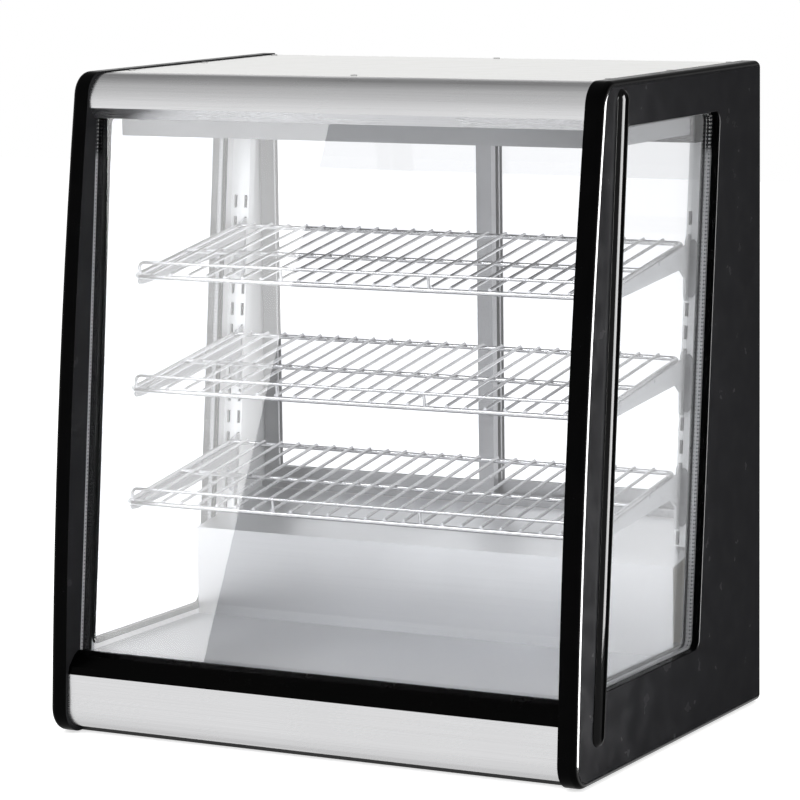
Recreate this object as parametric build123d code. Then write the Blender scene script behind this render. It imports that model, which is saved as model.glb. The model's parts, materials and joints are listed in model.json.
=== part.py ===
"""Refrigerated countertop display case with sliding rear doors, in millimetres.

Origin: centre of the footprint, on the surface it stands on. +Z up, front faces -Y.
The front glass leans back between its seat on the rail and its seat under the top trim.
The corner trims, the side windows and the shelf uprights lean with it, and `glass_y`
gives that leaning plane for every piece that follows it.
"""
import os
from math import cos, radians, sin
from build123d import *

# Driving dimensions: body
body_width = 700.0
body_depth = 526.0
body_height = 790.0
front_setback = 88.5
front_bow = 12.0
side_corner_radius = 30.0
side_thickness = 23.0
side_front_radius = 8.0
side_rear_radius = 2.5
liner_thickness = 2.0
plinth_height = 9.0
foot_gap = 1.5
foot_radius = 18.0
foot_inset = 40.0
panel_gap = 1.5
plinth_setback = 36.0
plinth_wall = 14.0

# Driving dimensions: glazing
pane = 4.0
front_gap = 9.0
side_gap = 5.5
glass_top_setback = 102.2
glass_foot_setback = 36.6
glass_edge_cover = 9.0
glazing_fit = 0.3
spacer_width = 5.0
window_recess = 9.5
window_top_margin = 53.0
window_bottom = 103.0
window_front = 27.0
window_length = 277.0
liner_window_margin = 2.0
window_radius = 12.0
window_rim_radius = 1.2
window_cover = 8.0
window_spacer_show = 2.0

# Driving dimensions: corner trim bars on the side faces
bar_front = 14.0
bar_width = 24.5
bar_height = 7.5
bar_bottom = 57.0
bar_top_margin = 23.0
cap_height = 13.0

# Driving dimensions: sheet metal and front trims
sheet = 1.2
trim_sheet = 1.5
trim_recess = 4.5
trim_radius = 36.0
trim_top_gap = 2.2
trim_fold_drop = 42.0
trim_lip_drop = 55.0
trim_lip_depth = 14.7
rail_bottom = 75.0
rail_top = 100.0
glass_bottom = 86.0
front_panel_curve = 29.0
front_panel_tuck = 17.0
flange_depth = 18.0

# Driving dimensions: cabin
deck_height = 95.0
cover_front = 45.0
cover_height = 205.0
cover_slope_rise = 27.0
sill_front = 203.0
sill_depth_under = 28.0
ceiling_drop = 54.0
bulkhead_front = 128.0
bulkhead_wall = 22.0
bulkhead_roof = 26.0
light_box_front = 44.0
light_box_length = 232.0
valance_drop = 35.0
light_box_half = 318.0
light_box_height = 25.0
lens_half = 280.0
lens_width = 30.0
lens_inset = 15.0

# Driving dimensions: uprights, brackets and shelves
pilaster_front = 321.0
pilaster_depth = 25.5
pilaster_return = 12.0
pilaster_wall = 1.5
slot_pitch = 27.2
slot_height = 16.0
slot_width = 4.5
slot_columns = (4.5, 19.0)
slot_first = 228.0
slot_count = 15
slots_per_shelf = 5
shelf_top_height = 580.0
shelf_count = 3
shelf_tilt_deg = 9.0
shelf_length = 247.0
shelf_rear = 302.0
frame_wire = 3.0
deck_wire = 2.0
guard_wire = 2.0
guard_height = 18.0
guard_inset = 8.0
wire_bend = 9.0
wire_pitch = 24.5
bracket_thickness = 3.0
bracket_drop = 69.0
bracket_root = 27.0
bracket_tip = 11.0
bracket_reach = 238.0
bracket_plate = 17.0
bracket_rise = 8.0
rest_gap = 0.3

# Driving dimensions: rear doors and tracks
door_thickness = 12.0
door_stile = 21.0
door_rail = 24.0
door_overlap = 20.0
door_side_gap = 2.0
door_gap = 1.0
door_pane = 4.0
track_rib = 4.0
track_floor = 3.0
track_height = 10.0
top_track_depth = 24.0
top_track_groove = 8.0
door_lift = 2.0
pull_length = 110.0
pull_width = 12.0
pull_depth = 5.0

# Driving dimensions: machine side
rear_cover_inset = 2.5
louvre_count = 14
louvre_pitch = 9.0
louvre_height = 3.5
louvre_length = 130.0
screw_radius = 4.0
screw_height = 1.4
cold_coil_margin = 45.0
cold_coil_front_gap = 16.0
cold_coil_rear_gap = 8.0
cold_coil_height = 88.0
cold_fan_margin = 135.0
cold_fan_setback = 30.0
coil_fan_gap = 74.0
hot_coil_margin = 27.0
hot_coil_length = 210.0
hot_coil_gap = 8.0
hot_coil_depth = 22.0
hot_coil_height = 130.0
hot_fan_setback = 58.0
cold_fan_lift = 4.0
hot_fan_lift = 14.0
coil_fin = 1.0
coil_fin_pitch = 16.0
tube_radius = 5.0
fan_radius = 46.0
fan_hub = 17.0
fan_frame_margin = 8.0
fan_frame_thickness = 5.0
fan_blades = 7
fan_clearance = 2.0
shaft_radius = 3.0
shaft_clearance = 0.05
compressor_margin = 122.0
compressor_radius = 58.0
compressor_lift = 8.0
compressor_base = 80.0
compressor_base_height = 12.0
compressor_height = 150.0
switch_length = 26.0
switch_width = 17.0
switch_wall = 2.0
rocker_clearance = 0.5
button_size = (9.0, 6.0)
button_travel = 0.6
controller_size = (78.0, 36.0)
controller_bezel = 2.0
controller_body = (70.0, 28.0, 30.0)
inlet_radius = 9.0

# Derived places
half_width = body_width / 2
inner_half = half_width - side_thickness
cabin_half = inner_half - liner_thickness
rear_y = body_depth / 2
trim_fold_height = body_height - trim_fold_drop
trim_lip_height = body_height - trim_lip_drop
ceiling_height = body_height - ceiling_drop
valance_bottom = ceiling_height - valance_drop
window_top = body_height - window_top_margin
bar_top = body_height - bar_top_margin
lean = (glass_top_setback - glass_foot_setback) / (trim_lip_height - rail_top)
tilt = radians(shelf_tilt_deg)
cover_rear_face = rear_y - rear_cover_inset
sill_height = cover_height + cover_slope_rise
PARTS = {}


def side_outline(front):
    """Side silhouette: bowed front that leans back, rounded front corners."""
    bottom = (front, panel_gap)
    top = (front + front_setback, body_height)
    middle = ((bottom[0] + top[0]) / 2 - front_bow, (bottom[1] + top[1]) / 2)
    edges = [
        ThreePointArc(bottom, middle, top),
        Line(top, (rear_y, body_height)),
        Line((rear_y, body_height), (rear_y, panel_gap)),
        Line((rear_y, panel_gap), bottom),
    ]
    face = make_face(Curve() + edges)
    return fillet(face.vertices().sort_by(Axis.X)[:2], side_corner_radius)


corner_pull = side_outline(-rear_y).bounding_box().min.X + rear_y
front_y = -rear_y - corner_pull


def glass_y(height, offset=0.0):
    """Y of the leaning front glass plane at a height, moved back by an offset."""
    return front_y + glass_top_setback - (trim_lip_height - height) * lean + offset


def add(name, shape):
    """Keep one named sub-part for export."""
    PARTS[name] = shape


def block(x0, x1, y0, y1, z0, z1):
    """Box between two corners."""
    return Pos((x0 + x1) / 2, (y0 + y1) / 2, (z0 + z1) / 2) * Box(x1 - x0, y1 - y0, z1 - z0)


def side_plane(x):
    """Sketch plane at a given X, with Y to the right and Z up."""
    return Plane(origin=(x, 0, 0), x_dir=(0, 1, 0), z_dir=(1, 0, 0))


def prism(points, x0, x1):
    """Extrude a YZ polygon from x0 to x1."""
    return extrude(side_plane(x0) * make_face(Polyline(*points, close=True)), x1 - x0)


def leaning(offset0, offset1, z0, z1, x0, x1):
    """Slab parallel to the front glass, between two offsets and two heights."""
    corners = [
        (glass_y(z0, offset0), z0),
        (glass_y(z0, offset1), z0),
        (glass_y(z1, offset1), z1),
        (glass_y(z1, offset0), z1),
    ]
    return prism(corners, x0, x1)


def mirrored(shape):
    """The same piece on the other side."""
    return mirror(shape, Plane.YZ)


def cylinder_x(radius, length, x, y, z):
    """Cylinder along X, centred."""
    return Pos(x, y, z) * Rot(0, 90, 0) * Cylinder(radius, length)


def cylinder_y(radius, y0, y1, x, z):
    """Cylinder along Y between two places."""
    return Pos(x, (y0 + y1) / 2, z) * Rot(90, 0, 0) * Cylinder(radius, y1 - y0)


def fuse(shapes):
    """Join a list of solids into one."""
    return shapes[0].fuse(*shapes[1:])


def window_face(grow, radius):
    """Outline of the leaning side window, grown by an amount on every side."""
    bottom = window_bottom - grow
    top = window_top + grow
    start = window_front - grow
    end = window_front + window_length + grow
    points = [
        (glass_y(bottom, start), bottom),
        (glass_y(bottom, end), bottom),
        (glass_y(top, end), top),
        (glass_y(top, start), top),
    ]
    face = make_face(Polyline(*points, close=True))
    return fillet(face.vertices(), radius)


def build_side_panels():
    """Thick black side panels with a leaning window and a groove for the front glass."""
    panel = extrude(side_plane(inner_half) * side_outline(front_y), side_thickness)
    panel -= extrude(side_plane(inner_half) * window_face(0, window_radius), side_thickness)
    outer = panel.faces().sort_by(Axis.X)[-1]
    outline = outer.outer_wire().edges().sort_by(Axis.Y)
    panel = fillet(outline[:-1], side_front_radius)
    outer = panel.faces().sort_by(Axis.X)[-1]
    panel = fillet(outer.outer_wire().edges().sort_by(Axis.Y)[-1], side_rear_radius)
    outer = panel.faces().sort_by(Axis.X)[-1]
    rim = [edge for wire in outer.inner_wires() for edge in wire.edges()]
    panel = fillet(rim, window_rim_radius)
    pocket_depth = side_thickness - window_recess
    pocket = window_face(window_cover + glazing_fit, window_radius)
    panel -= extrude(side_plane(inner_half) * pocket, pocket_depth)
    end = inner_half + glass_edge_cover + glazing_fit
    low = glass_bottom - 1
    deep = front_unit() + glazing_fit
    panel -= leaning(-glazing_fit, deep, low, trim_fold_height, inner_half, end)
    add("side_panel_right", panel)
    add("side_panel_left", mirrored(panel))


def front_unit():
    """Depth of the insulated front glass."""
    return 2 * pane + front_gap


def build_side_glazing():
    """Insulated side glass: two panes and a spacer frame behind the panel's lip."""
    outer_x = half_width - window_recess
    inner_x = outer_x - 2 * pane - side_gap
    face = window_face(window_cover, window_radius)
    outer = extrude(side_plane(outer_x - pane) * face, pane)
    inner = extrude(side_plane(inner_x) * face, pane)
    ring = window_face(window_cover - 2, window_radius)
    ring -= window_face(-window_spacer_show, window_radius)
    spacer = extrude(side_plane(inner_x + pane) * ring, side_gap)
    add("side_glass_right", Compound([outer, inner]))
    add("side_glass_left", Compound([mirrored(outer), mirrored(inner)]))
    add("side_spacers", Compound([spacer, mirrored(spacer)]))


def build_side_liners():
    """Inner wall sheets that hold the side glass in its pocket."""
    bottom = plinth_height + trim_sheet
    front = window_front - liner_window_margin
    points = [
        (glass_y(glass_bottom, front), bottom),
        (cover_rear_face - sheet, bottom),
        (cover_rear_face - sheet, ceiling_height),
        (glass_y(ceiling_height, front), ceiling_height),
        (glass_y(glass_bottom, front), glass_bottom),
    ]
    liner = prism(points, cabin_half, inner_half)
    liner -= extrude(side_plane(cabin_half) * window_face(0, window_radius), liner_thickness)
    add("side_liner_right", liner)
    add("side_liner_left", mirrored(liner))
    seal = leaning(front_unit() + 0.5, front, glass_bottom, ceiling_height, cabin_half, inner_half)
    add("corner_seals", Compound([seal, mirrored(seal)]))


def bar_section(height):
    """Half-oval section of the corner trim, lying on the side face."""
    centre = glass_y(height, bar_front + bar_width / 2)
    oval = Ellipse(bar_height, bar_width / 2)
    keep = Pos(bar_height, 0) * Rectangle(2 * bar_height, 2 * bar_width)
    plane = Plane(origin=(half_width, centre, height), x_dir=(1, 0, 0), z_dir=(0, 0, 1))
    return plane * (oval & keep)


def build_trim_bars():
    """Rounded trim bars along the windows' front edges, with domed end caps."""
    bar = loft([bar_section(bar_bottom), bar_section(bar_top)])
    caps = []
    for height, sign in ((bar_top, 1), (bar_bottom, -1)):
        centre = glass_y(height, bar_front + bar_width / 2)
        dome = Sphere(1.0)
        dome = scale(dome, by=(bar_height, bar_width / 2, cap_height))
        z0, z1 = (0, cap_height) if sign > 0 else (-cap_height, 0)
        keep = block(0, bar_height, -bar_width, bar_width, z0, z1)
        caps.append(Pos(half_width, centre, height) * (dome & keep))
    add("trim_bar_right", bar)
    add("trim_bar_left", mirrored(bar))
    add("trim_bar_caps", Compound(caps + [mirrored(cap) for cap in caps]))


def build_front_glass():
    """Insulated front glass and its perforated spacer frame."""
    half = inner_half + glass_edge_cover
    top = trim_fold_height - 2
    outer = leaning(0, pane, glass_bottom, top, -half, half)
    inner = leaning(pane + front_gap, front_unit(), glass_bottom, top, -half, half)
    ring = leaning(pane, pane + front_gap, glass_bottom, top, -half, half)
    hole = half - spacer_width
    low = glass_bottom + spacer_width
    ring -= leaning(0, front_unit(), low, top - spacer_width, -hole, hole)
    add("front_glass", Compound([outer, inner]))
    add("front_spacer", ring)


def front_edge_y(height):
    """Y of the side panel's bowed front edge, near enough for the trims' recess."""
    ratio = (height - panel_gap) / (body_height - panel_gap)
    return front_y + front_setback * ratio - 4 * front_bow * ratio * (1 - ratio)


def bent_sheet(face, thickness, open_from, x_half):
    """Sheet that follows a face's outline and is open behind a given Y."""
    shell = face - offset(face, -thickness)
    solid = extrude(side_plane(-x_half) * shell, 2 * x_half)
    box = solid.bounding_box()
    return solid - block(-x_half, x_half, open_from, box.max.Y + 1, box.min.Z - 1, box.max.Z + 1)


def build_front_trims():
    """Black glazing rail, stainless lower panel and rounded stainless top trim."""
    face_y = front_edge_y(rail_bottom) + trim_recess
    back = front_unit() + 0.2
    rail = [
        (face_y, rail_bottom),
        (face_y + 3, rail_bottom + 9),
        (face_y + 15, rail_top - 4),
        (glass_y(rail_top) - 4, rail_top),
        (glass_y(rail_top), rail_top),
        (glass_y(glass_bottom), glass_bottom),
        (glass_y(glass_bottom, back), glass_bottom),
        (glass_y(rail_bottom, back), rail_bottom),
    ]
    add("front_rail", prism(rail, -inner_half, inner_half))
    low_y = face_y - 1.5
    curve_top = plinth_height + front_panel_curve
    tuck_y = low_y + front_panel_tuck
    middle = (low_y + front_panel_tuck * 0.29, plinth_height + front_panel_curve * 0.29)
    back_y = face_y + flange_depth + 3
    edges = [
        Line((face_y, rail_bottom), (low_y, curve_top)),
        ThreePointArc((low_y, curve_top), middle, (tuck_y, plinth_height)),
        Line((tuck_y, plinth_height), (back_y, plinth_height)),
        Line((back_y, plinth_height), (back_y, rail_bottom)),
        Line((back_y, rail_bottom), (face_y, rail_bottom)),
    ]
    panel = bent_sheet(make_face(Curve() + edges), trim_sheet, face_y + flange_depth, inner_half)
    add("front_panel", panel)

    top = body_height - trim_top_gap
    centre_y = front_edge_y(trim_fold_height) + trim_recess + trim_radius
    centre_z = top - trim_radius
    fold = (centre_y - trim_radius, trim_fold_height)
    lip = (fold[0] + trim_lip_depth, trim_lip_height)
    arc_mid = (centre_y - trim_radius * sin(radians(45)), centre_z + trim_radius * sin(radians(45)))
    back_y = top_front() + 3
    edges = [
        Line(lip, fold),
        Line(fold, (fold[0], centre_z)),
        ThreePointArc((fold[0], centre_z), arc_mid, (centre_y, top)),
        Line((centre_y, top), (back_y, top)),
        Line((back_y, top), (back_y, trim_lip_height)),
        Line((back_y, trim_lip_height), lip),
    ]
    trim = bent_sheet(make_face(Curve() + edges), trim_sheet, top_front(), inner_half)
    below = trim_lip_height + trim_sheet + 0.5
    trim -= block(-inner_half, inner_half, lip[0] + 0.5, back_y, trim_lip_height - 1, below)
    add("top_trim", trim)


def top_front():
    """Y where the top panel meets the top trim."""
    return front_edge_y(trim_fold_height) + trim_recess + trim_radius + 13.0


def top_screws():
    """Screw heads on the top panel, near its edges."""
    height = body_height - trim_top_gap + screw_height / 2
    rows = (top_front() + 32, 70, rear_y - 20)
    places = [(x, y) for x in (10 - inner_half, inner_half - 10) for y in rows]
    places += [(0, rear_y - 14), (0, top_front() + 12)]
    return [(Pos(x, y, height) * Cylinder(screw_radius, screw_height)).solid() for x, y in places]


def build_top():
    """Top panel, foam, ceiling sheet, light box and the valance behind it."""
    top = body_height - trim_top_gap
    under = top - trim_sheet
    panel = block(-inner_half, inner_half, top_front(), cover_rear_face, under, top)
    flange = block(-inner_half, inner_half, cover_rear_face - sheet, cover_rear_face, ceiling_height, under)
    add("top_panel", panel + flange)
    front = glass_y(ceiling_height, front_unit() + 1.2)
    liner_top = ceiling_height + trim_sheet
    add("ceiling_liner", block(-cabin_half, cabin_half, front, sill_front, ceiling_height, liner_top))
    add("top_insulation", block(-inner_half, inner_half, top_front() + 2, sill_front, liner_top, under))
    header_end = cover_rear_face - sheet
    add("rear_header", block(-inner_half, inner_half, sill_front, header_end, ceiling_height, under))

    y0 = glass_y(ceiling_height, light_box_front)
    y1 = y0 + light_box_length
    z0 = ceiling_height - light_box_height
    box = block(-light_box_half, light_box_half, y0, y1, z0, ceiling_height)
    inside = block(
        sheet - light_box_half, light_box_half - sheet, y0 + sheet, y1 - sheet, z0 + sheet, ceiling_height
    )
    lens_y = y0 + lens_inset
    lens = block(-lens_half, lens_half, lens_y, lens_y + lens_width, z0, z0 + sheet)
    add("light_housing", box - inside - lens)
    add("light_lens", lens)
    valance_y = y1 + 0.3
    deep = glass_y(valance_bottom, pilaster_front) - 1.0
    half = cabin_half
    add("rear_valance", block(-half, half, valance_y, deep, valance_bottom, ceiling_height))


def build_base():
    """Base pan, plinth ring, rubber feet, foam slab and the stainless deck."""
    pan_top = plinth_height + trim_sheet
    pan_front = front_edge_y(rail_bottom) + trim_recess + flange_depth + 0.5
    pan_end = cover_rear_face - sheet
    add("base_pan", block(-inner_half, inner_half, pan_front, pan_end, plinth_height, pan_top))
    x = inner_half
    y0 = front_y + plinth_setback
    y1 = cover_rear_face
    outer = block(-x, x, y0, y1, foot_gap, plinth_height)
    inner = block(plinth_wall - x, x - plinth_wall, y0 + plinth_wall, y1 - plinth_wall, 0, body_height)
    add("plinth", outer - inner)
    feet = []
    for side in (-1, 1):
        for y in (y0 + foot_inset, y1 - foot_inset):
            foot = Cylinder(foot_radius, plinth_height)
            feet.append((Pos(side * (x - foot_inset), y, plinth_height / 2) * foot).solid())
    add("feet", Compound(feet))
    deck_under = deck_height - trim_sheet
    rear = bulkhead_front
    front = glass_y(rail_bottom, front_unit() + 3)
    foam = [
        (pan_front, pan_top),
        (rear, pan_top),
        (rear, deck_under),
        (glass_y(deck_under, front_unit() + 1.5), deck_under),
        (glass_y(deck_under, front_unit() + 1.5), rail_bottom),
        (front, rail_bottom - 0.2),
        (pan_front, rail_bottom - 0.2),
    ]
    add("base_insulation", prism(foam, -cabin_half, cabin_half))
    deck_front = glass_y(deck_height, front_unit() + 0.8)
    add("deck", block(-cabin_half, cabin_half, deck_front, rear, deck_under, deck_height))


def cover_slope(y):
    """Height of the machine cover's sloped top at a given Y."""
    return cover_height + cover_slope_rise * (y - cover_front) / (sill_front - cover_front)


def build_machine_cover():
    """Bent stainless cover over the cold coil, foam bulkhead and the door sill."""
    points = [
        (cover_front, deck_height),
        (cover_front, cover_height),
        (sill_front, sill_height),
        (sill_front, sill_height - sheet),
        (cover_front + sheet, cover_height - sheet),
        (cover_front + sheet, deck_height),
    ]
    half = cabin_half
    add("machine_cover", prism(points, -half, half))
    back = bulkhead_front + bulkhead_wall
    skin = sheet + 0.2
    end = sill_front
    pan_top = plinth_height + trim_sheet
    foam = [
        (bulkhead_front, pan_top),
        (back, pan_top),
        (back, cover_slope(back) - skin - bulkhead_roof),
        (end, cover_slope(end) - skin - bulkhead_roof),
        (end, cover_slope(end) - skin),
        (bulkhead_front, cover_slope(bulkhead_front) - skin),
    ]
    add("bulkhead_insulation", prism(foam, -half, half))
    sill_end = cover_rear_face - sheet
    sill_low = sill_height - sill_depth_under
    add("rear_sill", block(-half, half, sill_front, sill_end, sill_low, sill_height))


def pilaster_slots():
    """Centre heights of the slots, counted from the first."""
    return [slot_first + index * slot_pitch for index in range(slot_count)]


def build_pilasters():
    """Slotted uprights on the side walls, leaning like the glass."""
    inner = cabin_half - pilaster_depth
    top = ceiling_height
    bottom = cover_slope(glass_y(cover_height, pilaster_front + pilaster_return)) + 1.0
    web = leaning(pilaster_front, pilaster_front + pilaster_wall, bottom, top, inner, cabin_half)
    deep = pilaster_front + pilaster_return
    wing = leaning(pilaster_front, deep, bottom, top, inner, inner + pilaster_wall)
    seat = leaning(pilaster_front, deep, bottom, top, cabin_half - pilaster_wall, cabin_half)
    upright = web + wing + seat
    cutters = []
    for height in pilaster_slots():
        for column in slot_columns:
            x0 = inner + column - slot_width / 2
            z0 = height - slot_height / 2
            z1 = height + slot_height / 2
            near = pilaster_front - 2
            cutters.append(leaning(near, pilaster_front + 4, z0, z1, x0, x0 + slot_width))
    upright = upright.cut(*cutters)
    add("pilasters", Compound([upright.solid(), mirrored(upright.solid())]))


def shelf_heights():
    """Heights of the shelves' rear rails, from the top one down."""
    return [shelf_top_height - index * slots_per_shelf * slot_pitch for index in range(shelf_count)]


def shelf_point(height, along):
    """Point on a shelf's plane, a distance forward of its rear rail."""
    return glass_y(height, shelf_rear) - along * cos(tilt), height - along * sin(tilt)


def bracket_x():
    """X of the bracket plates, in line with the inner slot column."""
    return cabin_half - pilaster_depth + slot_columns[0]


def bracket_shape(height):
    """Cantilever bracket: hook plate on the upright and a tapered arm under the shelf."""
    top = frame_wire + rest_gap

    def below(along, drop):
        y, z = shelf_point(height, along)
        return y, z - drop / cos(tilt)

    def face(z):
        return glass_y(z, pilaster_front)

    base_z = height - bracket_drop
    top_z = height + bracket_rise
    arm_rear = frame_wire + 6
    plate_front = face(height) - bracket_plate
    root = (height - bracket_root - 4)
    points = [
        below(bracket_reach - 3, top),
        below(bracket_reach + 1, top + 4),
        below(bracket_reach - 2, top + bracket_tip - 2),
        below(bracket_reach - 12, top + bracket_tip),
        (plate_front - 12, root + 1),
        (plate_front + 2, root - 10),
        (face(base_z) - 8, base_z + 3),
        (face(base_z) - 4, base_z),
        (face(base_z), base_z),
        (face(top_z), top_z),
        (face(top_z) - 7, top_z),
        (face(top_z) - 9, top_z - 3),
        below(-arm_rear, top - 4),
        below(-arm_rear, top),
    ]
    x0 = bracket_x() - bracket_thickness / 2
    plate = prism(points, x0, x0 + bracket_thickness)
    for index in (0, 2):
        z = nearest_slot(height) - index * slot_pitch
        tab_top = z + slot_height / 2 - 2
        tab_low = z - slot_height / 2 + 1
        tab = [
            (face(z) - 1, tab_low + 3),
            (face(z) + pilaster_wall + 1.2, tab_low + 3),
            (face(z) + pilaster_wall + 1.2, tab_low),
            (face(z) + pilaster_wall + 5, tab_low),
            (face(z) + pilaster_wall + 5, tab_top),
            (face(z) - 1, tab_top),
        ]
        plate += prism(tab, x0, x0 + bracket_thickness)
    notch_y, notch_z = below(72, top)
    x1 = x0 + bracket_thickness
    plate -= block(x0 - 1, x1 + 1, notch_y - 2, notch_y + 2, notch_z - 5, notch_z + 3)
    return plate.solid()


def nearest_slot(height):
    """Slot closest to a shelf's rear rail."""
    return min(pilaster_slots(), key=lambda slot: abs(slot - height))


def build_brackets():
    """One pair of brackets for each shelf."""
    solids = []
    for height in shelf_heights():
        bracket = bracket_shape(height)
        solids += [bracket, mirrored(bracket)]
    add("brackets", Compound(solids))


def wire(path, radius):
    """Round wire along a path."""
    return sweep(Plane(origin=path @ 0, z_dir=path % 0) * Circle(radius), path=path)


def shelf_shape(height):
    """Wire shelf: round frame, front-to-back wires and a raised front guard."""
    half = bracket_x()
    length = shelf_length
    outline = (Pos(0, -length / 2) * RectangleRounded(2 * half, length, wire_bend)).wire()
    pieces = [wire(outline, frame_wire)]
    pieces.append(cylinder_x(frame_wire, 2 * half, 0, -length / 2, 0))
    count = int(2 * half / wire_pitch)
    gap = 2 * half / count
    lift = frame_wire + deck_wire / 2
    for index in range(1, count):
        pieces.append(Pos(0, 0, lift) * cylinder_y(deck_wire, -length, 0, index * gap - half, 0))
    deck = fuse(pieces).solid()
    reach = half - guard_inset
    post = reach / 3
    rise = [
        (-half + wire_bend, -length, 0),
        (-reach, -length, guard_height),
        (reach, -length, guard_height),
        (half - wire_bend, -length, 0),
    ]
    guard = [wire(FilletPolyline(*rise, radius=guard_inset), guard_wire)]
    for x in (-post, post):
        guard.append(Pos(x, -length, guard_height / 2) * Cylinder(guard_wire * 0.9, guard_height))
    guard = fuse(guard) - deck
    guard = guard.solids().sort_by(SortBy.VOLUME)[-1]
    y, z = shelf_point(height, 0)
    plane = Plane(origin=(0, y, z), x_dir=(1, 0, 0), z_dir=(0, -sin(tilt), cos(tilt)))
    return Compound([plane * deck, plane * guard])


def build_shelves():
    """Three equal shelves, one node each."""
    names = ("shelf_top", "shelf_middle", "shelf_bottom")
    for name, height in zip(names, shelf_heights()):
        add(name, shelf_shape(height))


def door_lines():
    """Front faces of the inner and the outer door."""
    first = sill_front + 6 + track_rib + door_gap
    return first, first + door_thickness + 2 * door_gap + track_rib


def build_tracks():
    """Bottom and top tracks with one groove for each door."""
    inner, outer = door_lines()
    y0 = inner - door_gap - track_rib
    y1 = outer + door_thickness + door_gap + track_rib
    half = cabin_half
    floor = sill_height + track_floor
    top = sill_height + track_height
    lower = block(-half, half, y0, y1, sill_height, top)
    ceiling = ceiling_height - top_track_depth
    upper = block(-half, half, y0, y1, ceiling, ceiling_height)
    for face in (inner, outer):
        g0 = face - door_gap
        g1 = face + door_thickness + door_gap
        lower -= block(-half, half, g0, g1, floor, top)
        upper -= block(-half, half, g0, g1, ceiling, ceiling + top_track_groove)
    add("door_track_bottom", lower)
    add("door_track_top", upper)


def build_doors():
    """Two sliding doors: the left one on the inner track, the right one on the outer."""
    inner, outer = door_lines()
    z0 = sill_height + track_floor + rest_gap
    z1 = ceiling_height - top_track_depth + top_track_groove - door_lift
    far = cabin_half - door_side_gap
    near = door_overlap / 2
    for name, y, x0, x1, side in (
        ("left", inner, -far, near, -1),
        ("right", outer, -near, far, 1),
    ):
        frame = block(x0, x1, y, y + door_thickness, z0, z1)
        left, right = x0 + door_stile, x1 - door_stile
        opening = block(left, right, y, y + door_thickness, z0 + door_rail, z1 - door_rail)
        glass_mid = y + door_thickness / 2
        deep = 4.0
        glass = block(
            left - deep,
            right + deep,
            glass_mid - door_pane / 2,
            glass_mid + door_pane / 2,
            z0 + door_rail - deep,
            z1 - door_rail + deep,
        )
        frame = frame - opening - glass
        stile_mid = (x0 + door_stile / 2) if side < 0 else (x1 - door_stile / 2)
        pull_z = (z0 + z1) / 2
        back = y + door_thickness
        pull = block(
            stile_mid - pull_width / 2,
            stile_mid + pull_width / 2,
            back - pull_depth,
            back,
            pull_z - pull_length / 2,
            pull_z + pull_length / 2,
        )
        frame -= pull
        finger = block(
            stile_mid - pull_width / 2 + 2,
            stile_mid + pull_width / 2 - 2,
            back - pull_depth + 1.5,
            back,
            pull_z - pull_length / 2 + 4,
            pull_z + pull_length / 2 - 4,
        )
        add(f"door_{name}_frame", frame)
        add(f"door_{name}_glass", glass)
        add(f"door_{name}_pull", pull - finger)


def coil(x0, x1, y0, y1, z0, z1, columns, rows):
    """Finned coil: thin fins on straight tubes between two end plates."""
    pieces = []
    count = int((x1 - x0) / coil_fin_pitch)
    gap = (x1 - x0 - coil_fin) / count
    for index in range(count + 1):
        x = x0 + index * gap
        pieces.append(block(x, x + coil_fin, y0, y1, z0, z1))
    for column in range(columns):
        for row in range(rows):
            y = y0 + (column + 0.5) * (y1 - y0) / columns
            z = z0 + (row + 0.5) * (z1 - z0) / rows
            pieces.append(cylinder_x(tube_radius, x1 - x0, (x0 + x1) / 2, y, z))
    return fuse(pieces)


def fan(x, y, z, foot_z):
    """Fan frame with its motor, and the bladed rotor on a shaft in the motor."""
    half = fan_radius + fan_clearance + fan_frame_margin
    y1 = y + fan_frame_thickness
    frame = block(x - half, x + half, y, y1, foot_z, z + half)
    frame -= cylinder_y(fan_radius + fan_clearance, y, y1, x, z)
    motor_y = y1 + 14
    arm = block(x - half, x + half, y1, y1 + 3, z - 4, z + 4)
    motor = cylinder_y(fan_hub, y1 + 3, motor_y + 12, x, z)
    frame = fuse([frame, arm, motor])
    frame -= cylinder_y(shaft_radius + shaft_clearance, y1 - 1, motor_y, x, z)
    hub = cylinder_y(fan_hub, y - 12, y1 - rest_gap, x, z)
    shaft = cylinder_y(shaft_radius, y1 - rest_gap - 1, motor_y - rest_gap, x, z)
    pieces = [hub, shaft]
    for index in range(fan_blades):
        blade = Pos((fan_hub + fan_radius) / 2 - 2, 0, 0) * Rot(28, 0, 0)
        blade = blade * Box(fan_radius - fan_hub + 3, 1.6, 22)
        turn = Rot(0, index * 360 / fan_blades, 0)
        pieces.append(Pos(x, y - 5, z) * (turn * blade))
    limit = cylinder_y(fan_radius, y - 14, motor_y, x, z)
    rotor = fuse(pieces) & limit
    return frame, rotor


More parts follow.
